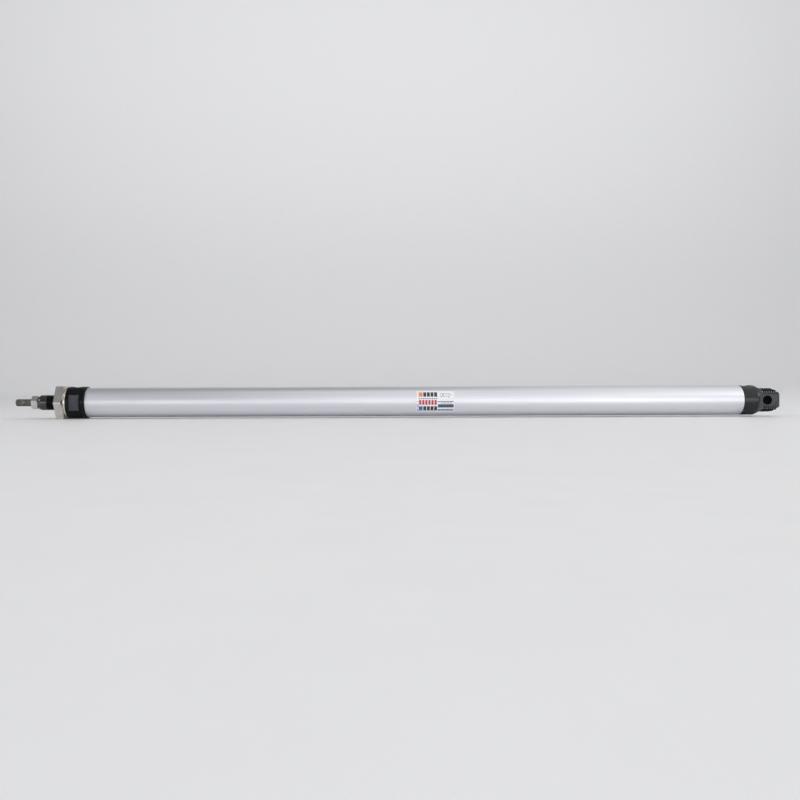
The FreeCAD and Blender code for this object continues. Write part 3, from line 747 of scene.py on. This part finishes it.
def hex_nut(name, front, rear, half_flats, bore, pitch, turn):
    """A hexagon nut with a corner at -Y, lifted by turn degrees, with a bevelled rear face and a
    threaded bore."""
    lean = math.radians(30)
    corner_round = 0.035 * half_flats
    outline = []
    for i in range(6):
        angle = math.radians(60 * i)
        corner = Vector((math.cos(angle), math.sin(angle))) * half_flats / math.cos(lean)
        along = Vector((-math.sin(angle), math.cos(angle))).normalized()
        for side in (-1, 1):
            direction = along * math.cos(lean) * side - corner.normalized() * math.sin(lean)
            for step in (1.0, 0.3):
                reach = step if side < 0 else 1.3 - step
                outline.append(corner + direction * corner_round * reach)
    nut = prism(name, [(p.x, p.y) for p in outline], front, rear)
    turn_to(nut, Matrix.Rotation(math.pi / 2, 4, "Y"))
    turn_to(nut, Matrix.Rotation(math.pi / 2 - math.radians(turn), 4, "X"))
    inner = half_flats * 0.95
    outer = half_flats * 1.3
    drop = (outer - inner) * math.tan(lean)
    dome = revolve(name + "_bevels", [
        (front - pitch, 0.0), (front - pitch, outer),
        (rear - drop, outer), (rear, inner), (rear, 0.0),
    ])
    sink = 0.45 * pitch
    depth = 0.54 * pitch
    rows = [(front - pitch, 0.0), (front - pitch, bore + sink), (front, bore + sink)]
    rows += thread_rows(front + sink, rear - sink, bore, pitch, depth, per_turn=10)
    rows += [(rear, bore + sink), (rear + pitch, bore + sink), (rear + pitch, 0.0)]
    hole = revolve(name + "_hole", rows, 96)
    combine(nut, "INTERSECT", [dome])
    return shade(combine(nut, "DIFFERENCE", [hole]), 24)


def make_nuts():
    big = hex_nut(
        "nose_nut", NUT_FRONT, NUT_REAR, NUT_HALF_FLATS, THREAD_RADIUS, THREAD_PITCH, 0.0)
    finish_piece(big, "housing", "nickel_steel", "mounting_nut")
    small = hex_nut(
        "rod_jam_nut", ROD_NUT_FRONT, ROD_NUT_REAR, ROD_NUT_HALF_FLATS, ROD_THREAD_RADIUS,
        FINE_PITCH, ROD_NUT_TURN)
    finish_piece(small, "rod", "nickel_steel", "rod_nut")


def make_washer():
    low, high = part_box("nut_washer")
    bore = 8.1 * MM
    washer = revolve("nose_washer", soften([
        (low.x, bore), (low.x, high.z), (high.x, high.z), (high.x, bore),
    ], 0.3 * MM, 5))
    finish_piece(shade(washer), "housing", "spring_steel", "nut_washer")


def make_rod():
    """The rod, with its rolled M5 thread up to the nut's rear face, and the tail that holds the
    piston."""
    thread_end = ROD_NUT_REAR - 0.1 * MM
    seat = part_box("piston_front_half")[0].x + 2 * MM
    tail = 2.0 * MM
    thread = chamfered(
        thread_rows(
            ROD_TIP, thread_end, ROD_THREAD_RADIUS, FINE_PITCH, 0.48 * MM,
            fade_end=0.5 * MM, per_turn=16),
        ROD_TIP, ROD_THREAD_RADIUS - 0.6 * MM, 1.0,
    )
    rows = [(ROD_TIP, 0.0)] + thread
    rows += soften([
        (thread_end + 0.05 * MM, ROD_RADIUS), (seat, ROD_RADIUS), (seat, tail), (ROD_END, tail),
    ], 0.05 * MM, closed=False)
    rows += [(ROD_END, 0.0)]
    finish_piece(shade(revolve("rod_bar", rows, 96), 40), "rod", "rod_steel", "piston_rod")


# ---- Label ---------------------------------------------------------------------------------------

LABEL_LOW, LABEL_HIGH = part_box("rating_label")
LABEL_WIDTH = LABEL_HIGH.x - LABEL_LOW.x
LABEL_HALF_ANGLE = math.radians(43)
LABEL_RADIUS = BARREL_RADIUS + 0.08 * MM
LABEL_HEIGHT = 2 * LABEL_HALF_ANGLE * LABEL_RADIUS


def on_label(along, up, level):
    """A place on the bent label, measured from its lower left corner as it lies flat."""
    angle = (up - LABEL_HEIGHT / 2) / LABEL_RADIUS
    return (LABEL_LOW.x + along, -level * math.cos(angle), level * math.sin(angle))


def print_blocks(name, material, blocks):
    """Closed blocks of ink on the label, each from its lower left to its upper right corner in
    mm."""
    sunk, proud = LABEL_RADIUS - 0.02 * MM, LABEL_RADIUS + 0.008 * MM
    longest_step = 0.5
    work = bmesh.new()
    for left, low, right, high in blocks:
        section = ((left, sunk), (right, sunk), (right, proud), (left, proud))
        steps = max(1, math.ceil((high - low) / longest_step))
        rings = []
        for i in range(steps + 1):
            up = (low + (high - low) * i / steps) * MM
            rings.append([
                work.verts.new(on_label(along * MM, up, level)) for along, level in section
            ])
        work.faces.new(rings[0])
        work.faces.new(rings[-1])
        for near, far in zip(rings, rings[1:]):
            for i in range(4):
                j = (i + 1) % 4
                work.faces.new([near[i], near[j], far[j], far[i]])
    ink = shade(add_solid(name, work), 50)
    ink.data.materials.append(material)
    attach(ink, "housing")


def row_of(count, left, right, low, high, gap=0.45):
    """Equal blocks side by side."""
    width = (right - left - gap * (count - 1)) / count
    starts = [left + i * (width + gap) for i in range(count)]
    return [(start, low, start + width, high) for start in starts]


def make_label():
    """A white film label with generic print: blocks in four colours, rules, bands, and the standard
    symbol of a double-acting cylinder."""
    finish_piece(label_film(0.8 * MM), "housing", "label_film", "rating_label")
    grey = printed_film("label_grey", (0.17, 0.17, 0.19), (0.13, 0.13, 0.15))
    black = printed_film("label_black", (0.022, 0.023, 0.028), (0.04, 0.042, 0.05))
    orange = printed_film("label_orange", (0.80, 0.30, 0.09), (0.70, 0.25, 0.08))
    red = printed_film("label_red", (0.55, 0.035, 0.06), (0.47, 0.03, 0.055))
    blue = printed_film("label_blue", (0.06, 0.14, 0.50), (0.05, 0.12, 0.43))
    navy = printed_film("label_navy", (0.045, 0.075, 0.15), (0.06, 0.095, 0.18))
    slate = printed_film("label_slate", (0.16, 0.18, 0.21), (0.20, 0.22, 0.25))

    left, right, bottom, top, pen = 15.6, 21.8, 10.9, 13.3, 0.22     # the symbol's frame
    print_blocks("label_symbol", grey, [
        (left, bottom, right, bottom + pen), (left, top - pen, right, top),
        (left, bottom + pen, left + pen, top - pen), (right - pen, bottom + pen, right, top - pen),
        (17.2, bottom + pen, 17.7, top - pen),
        (17.7, 12.0, right - pen, 12.2), (right, 12.0, 23.9, 12.2),
        (16.2, 10.0, 16.4, bottom), (21.0, 10.0, 21.2, bottom),
    ])
    print_blocks("label_grey_rows", grey, (
        row_of(9, 1.3, 13.6, 9.2, 9.9, 0.5) + row_of(4, 16.4, 23.2, 6.2, 6.7, 0.6)))
    print_blocks("label_orange_block", orange, [(1.3, 10.8, 3.9, 14.1)])
    print_blocks("label_black_rows", black, (
        row_of(4, 4.35, 13.6, 10.8, 14.1) + row_of(4, 4.35, 13.6, 1.3, 4.3)))
    print_blocks("label_red_row", red, row_of(6, 1.5, 13.2, 5.4, 8.6, 0.55))
    print_blocks("label_blue_block", blue, [(1.3, 1.3, 3.9, 4.3)])
    print_blocks("label_bands", navy, [
        (0.5, 7.2, 1.1, 7.7), (13.6, 7.2, 24.5, 7.7),
        (0.5, 3.4, 1.0, 5.7), (14.1, 3.4, 24.5, 5.7),
        (0.5, 0.7, 1.0, 2.4), (1.3, 0.7, 13.6, 1.0),
    ])
    print_blocks("label_fading_band", slate, row_of(12, 14.1, 24.5, 0.8, 2.3, 0.12))


def label_film(corner):
    """The film itself: a bent sheet with rounded corners, as one closed shell."""
    work = bmesh.new()
    columns = 40
    rows = 48
    grid = {}
    for level_index, level in enumerate((BARREL_RADIUS + 0.005 * MM, LABEL_RADIUS)):
        for i in range(rows + 1):
            up = LABEL_HEIGHT * i / rows
            from_edge = min(up, LABEL_HEIGHT - up)
            inset = 0.0
            if from_edge < corner:
                inset = corner - math.sqrt(max(corner ** 2 - (corner - from_edge) ** 2, 0.0))
            for j in range(columns + 1):
                along = inset + (LABEL_WIDTH - 2 * inset) * j / columns
                grid[level_index, i, j] = work.verts.new(on_label(along, up, level))
    for level_index in (0, 1):
        for i in range(rows):
            for j in range(columns):
                corners = ((i, j), (i, j + 1), (i + 1, j + 1), (i + 1, j))
                work.faces.new([grid[level_index, a, b] for a, b in corners])
    rim = [(0, j) for j in range(columns)] + [(i, columns) for i in range(rows)]
    rim += [(rows, j) for j in range(columns, 0, -1)] + [(i, 0) for i in range(rows, 0, -1)]
    for here, there in zip(rim, rim[1:] + rim[:1]):
        work.faces.new([grid[0, *here], grid[0, *there], grid[1, *there], grid[1, *here]])
    return shade(add_solid("label_sheet", work), 50)


# ---- CAD nodes that stay -------------------------------------------------------------------------

def dress_cad_nodes():
    """Every CAD node that still shows gets its slot's procedural material."""
    slots = {row["node"]: row["material_slot"] for row in frame["record"]["subparts"]}
    for name, obj in frame["nodes"].items():
        if not obj.hide_render:
            obj.data.materials.clear()
            obj.data.materials.append(MATERIALS[slots[name]])


# ---- Stage, light and camera ---------------------------------------------------------------------

def make_stage():
    """A wide pale floor that sweeps up into a pale wall far behind, with no edge between them."""
    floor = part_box("mounting_nut")[0].z
    back, bend, top, half_width, steps = 3.2, 1.6, 7.0, 12.0, 32
    line = [(-20.0, floor), (-2.0, floor), (0.5, floor), (back, floor)]
    for i in range(1, steps + 1):
        angle = math.pi / 2 * i / steps
        line.append((back + bend * math.sin(angle), floor + bend * (1 - math.cos(angle))))
    line.append((back + bend, floor + top))
    work = bmesh.new()
    rows = [[work.verts.new((x, y, z)) for x in (-half_width, half_width)] for y, z in line]
    for near, far in zip(rows, rows[1:]):
        work.faces.new([near[0], near[1], far[1], far[0]]).smooth = True
    stage = add_mesh("stage", work)
    stage.data.materials.append(stage_material())


def softbox(name, place, target, width, height, watts, color=(1, 1, 1)):
    """A rectangular light at one place, aimed at another."""
    data = bpy.data.lights.new(name, "AREA")
    data.shape = "RECTANGLE"
    data.size, data.size_y = width, height
    data.energy = watts
    data.color = color
    light = bpy.data.objects.new(name, data)
    bpy.context.scene.collection.objects.link(light)
    light.location = place
    light.rotation_euler = (Vector(target) - Vector(place)).to_track_quat("-Z", "Y").to_euler()


def make_lights():
    """Broad soft light from the front right, little from above on the left, and fill from both
    sides."""
    cool = (0.92, 0.96, 1.0)
    softbox("overhead", (0.5, -0.35, 1.3), (0.5, 0.0, 0.0), 2.2, 1.1, 5.6)
    softbox("overhead_left", (-0.8, -0.35, 1.3), (-0.8, 0.0, 0.0), 0.4, 1.1, 0.3)
    softbox("rear_high", (0.8, 0.55, 1.25), (0.8, 0.0, 0.0), 1.5, 0.6, 2.2)
    softbox("front_high", (0.4, -1.5, 1.1), (0.4, 0.0, 0.0), 2.2, 0.9, 5.6)
    softbox("front_low", (0.5, -1.5, 0.2), (0.5, 0.0, 0.0), 2.2, 0.4, 6.2)
    softbox("front_left", (-0.95, -1.15, 0.1), (-0.48, 0.0, 0.0), 0.3, 0.2, 1.0, cool)
    softbox("front_right", (0.6, -1.3, 0.035), (0.0, 0.0, 0.0), 0.36, 0.07, 0.8, cool)
    softbox("right_fill", (3.4, -1.0, 2.1), (-0.2, 0.0, 0.0), 1.6, 1.6, 42)
    softbox("left_fill", (-3.6, -1.0, 1.8), (-0.3, 0.0, 0.0), 1.4, 1.4, 35)
    softbox("backdrop", (0.0, 1.5, 3.2), (0.0, 4.8, 2.2), 9.0, 1.2, 95)
    world = bpy.data.worlds.new("studio")
    bpy.context.scene.world = world
    world.use_nodes = True
    background = world.node_tree.nodes["Background"]
    background.inputs["Color"].default_value = (0.95, 0.96, 1.0, 1)
    background.inputs["Strength"].default_value = 0.22
    bpy.context.scene.view_settings.view_transform = "Standard"


def make_camera():
    """Level with the axis and a little above it, and set off along X, with the photograph's slight
    roll."""
    distance = 0.55
    elevation = math.radians(1.2)
    aim = Vector((SHOULDER + 187 * MM, 0, 1.0 * MM))
    data = bpy.data.cameras.new("camera")
    data.sensor_width = 36.0
    data.lens = 36.5
    data.shift_x = 0.0681
    data.clip_start = 0.01
    camera = bpy.data.objects.new("camera", data)
    bpy.context.scene.collection.objects.link(camera)
    place = aim + Vector((0, -distance * math.cos(elevation), distance * math.sin(elevation)))
    look = (aim - place).to_track_quat("-Z", "Y")
    roll = Matrix.Rotation(math.radians(-0.22), 3, "Z")
    camera.matrix_world = Matrix.Translation(place) @ (look.to_matrix() @ roll).to_4x4()
    bpy.context.scene.camera = camera


make_barrel()
make_front_cover()
make_rear_cover()
make_gland_cap()
make_nuts()
make_washer()
make_rod()
make_label()
dress_cad_nodes()
make_stage()
make_lights()
make_camera()
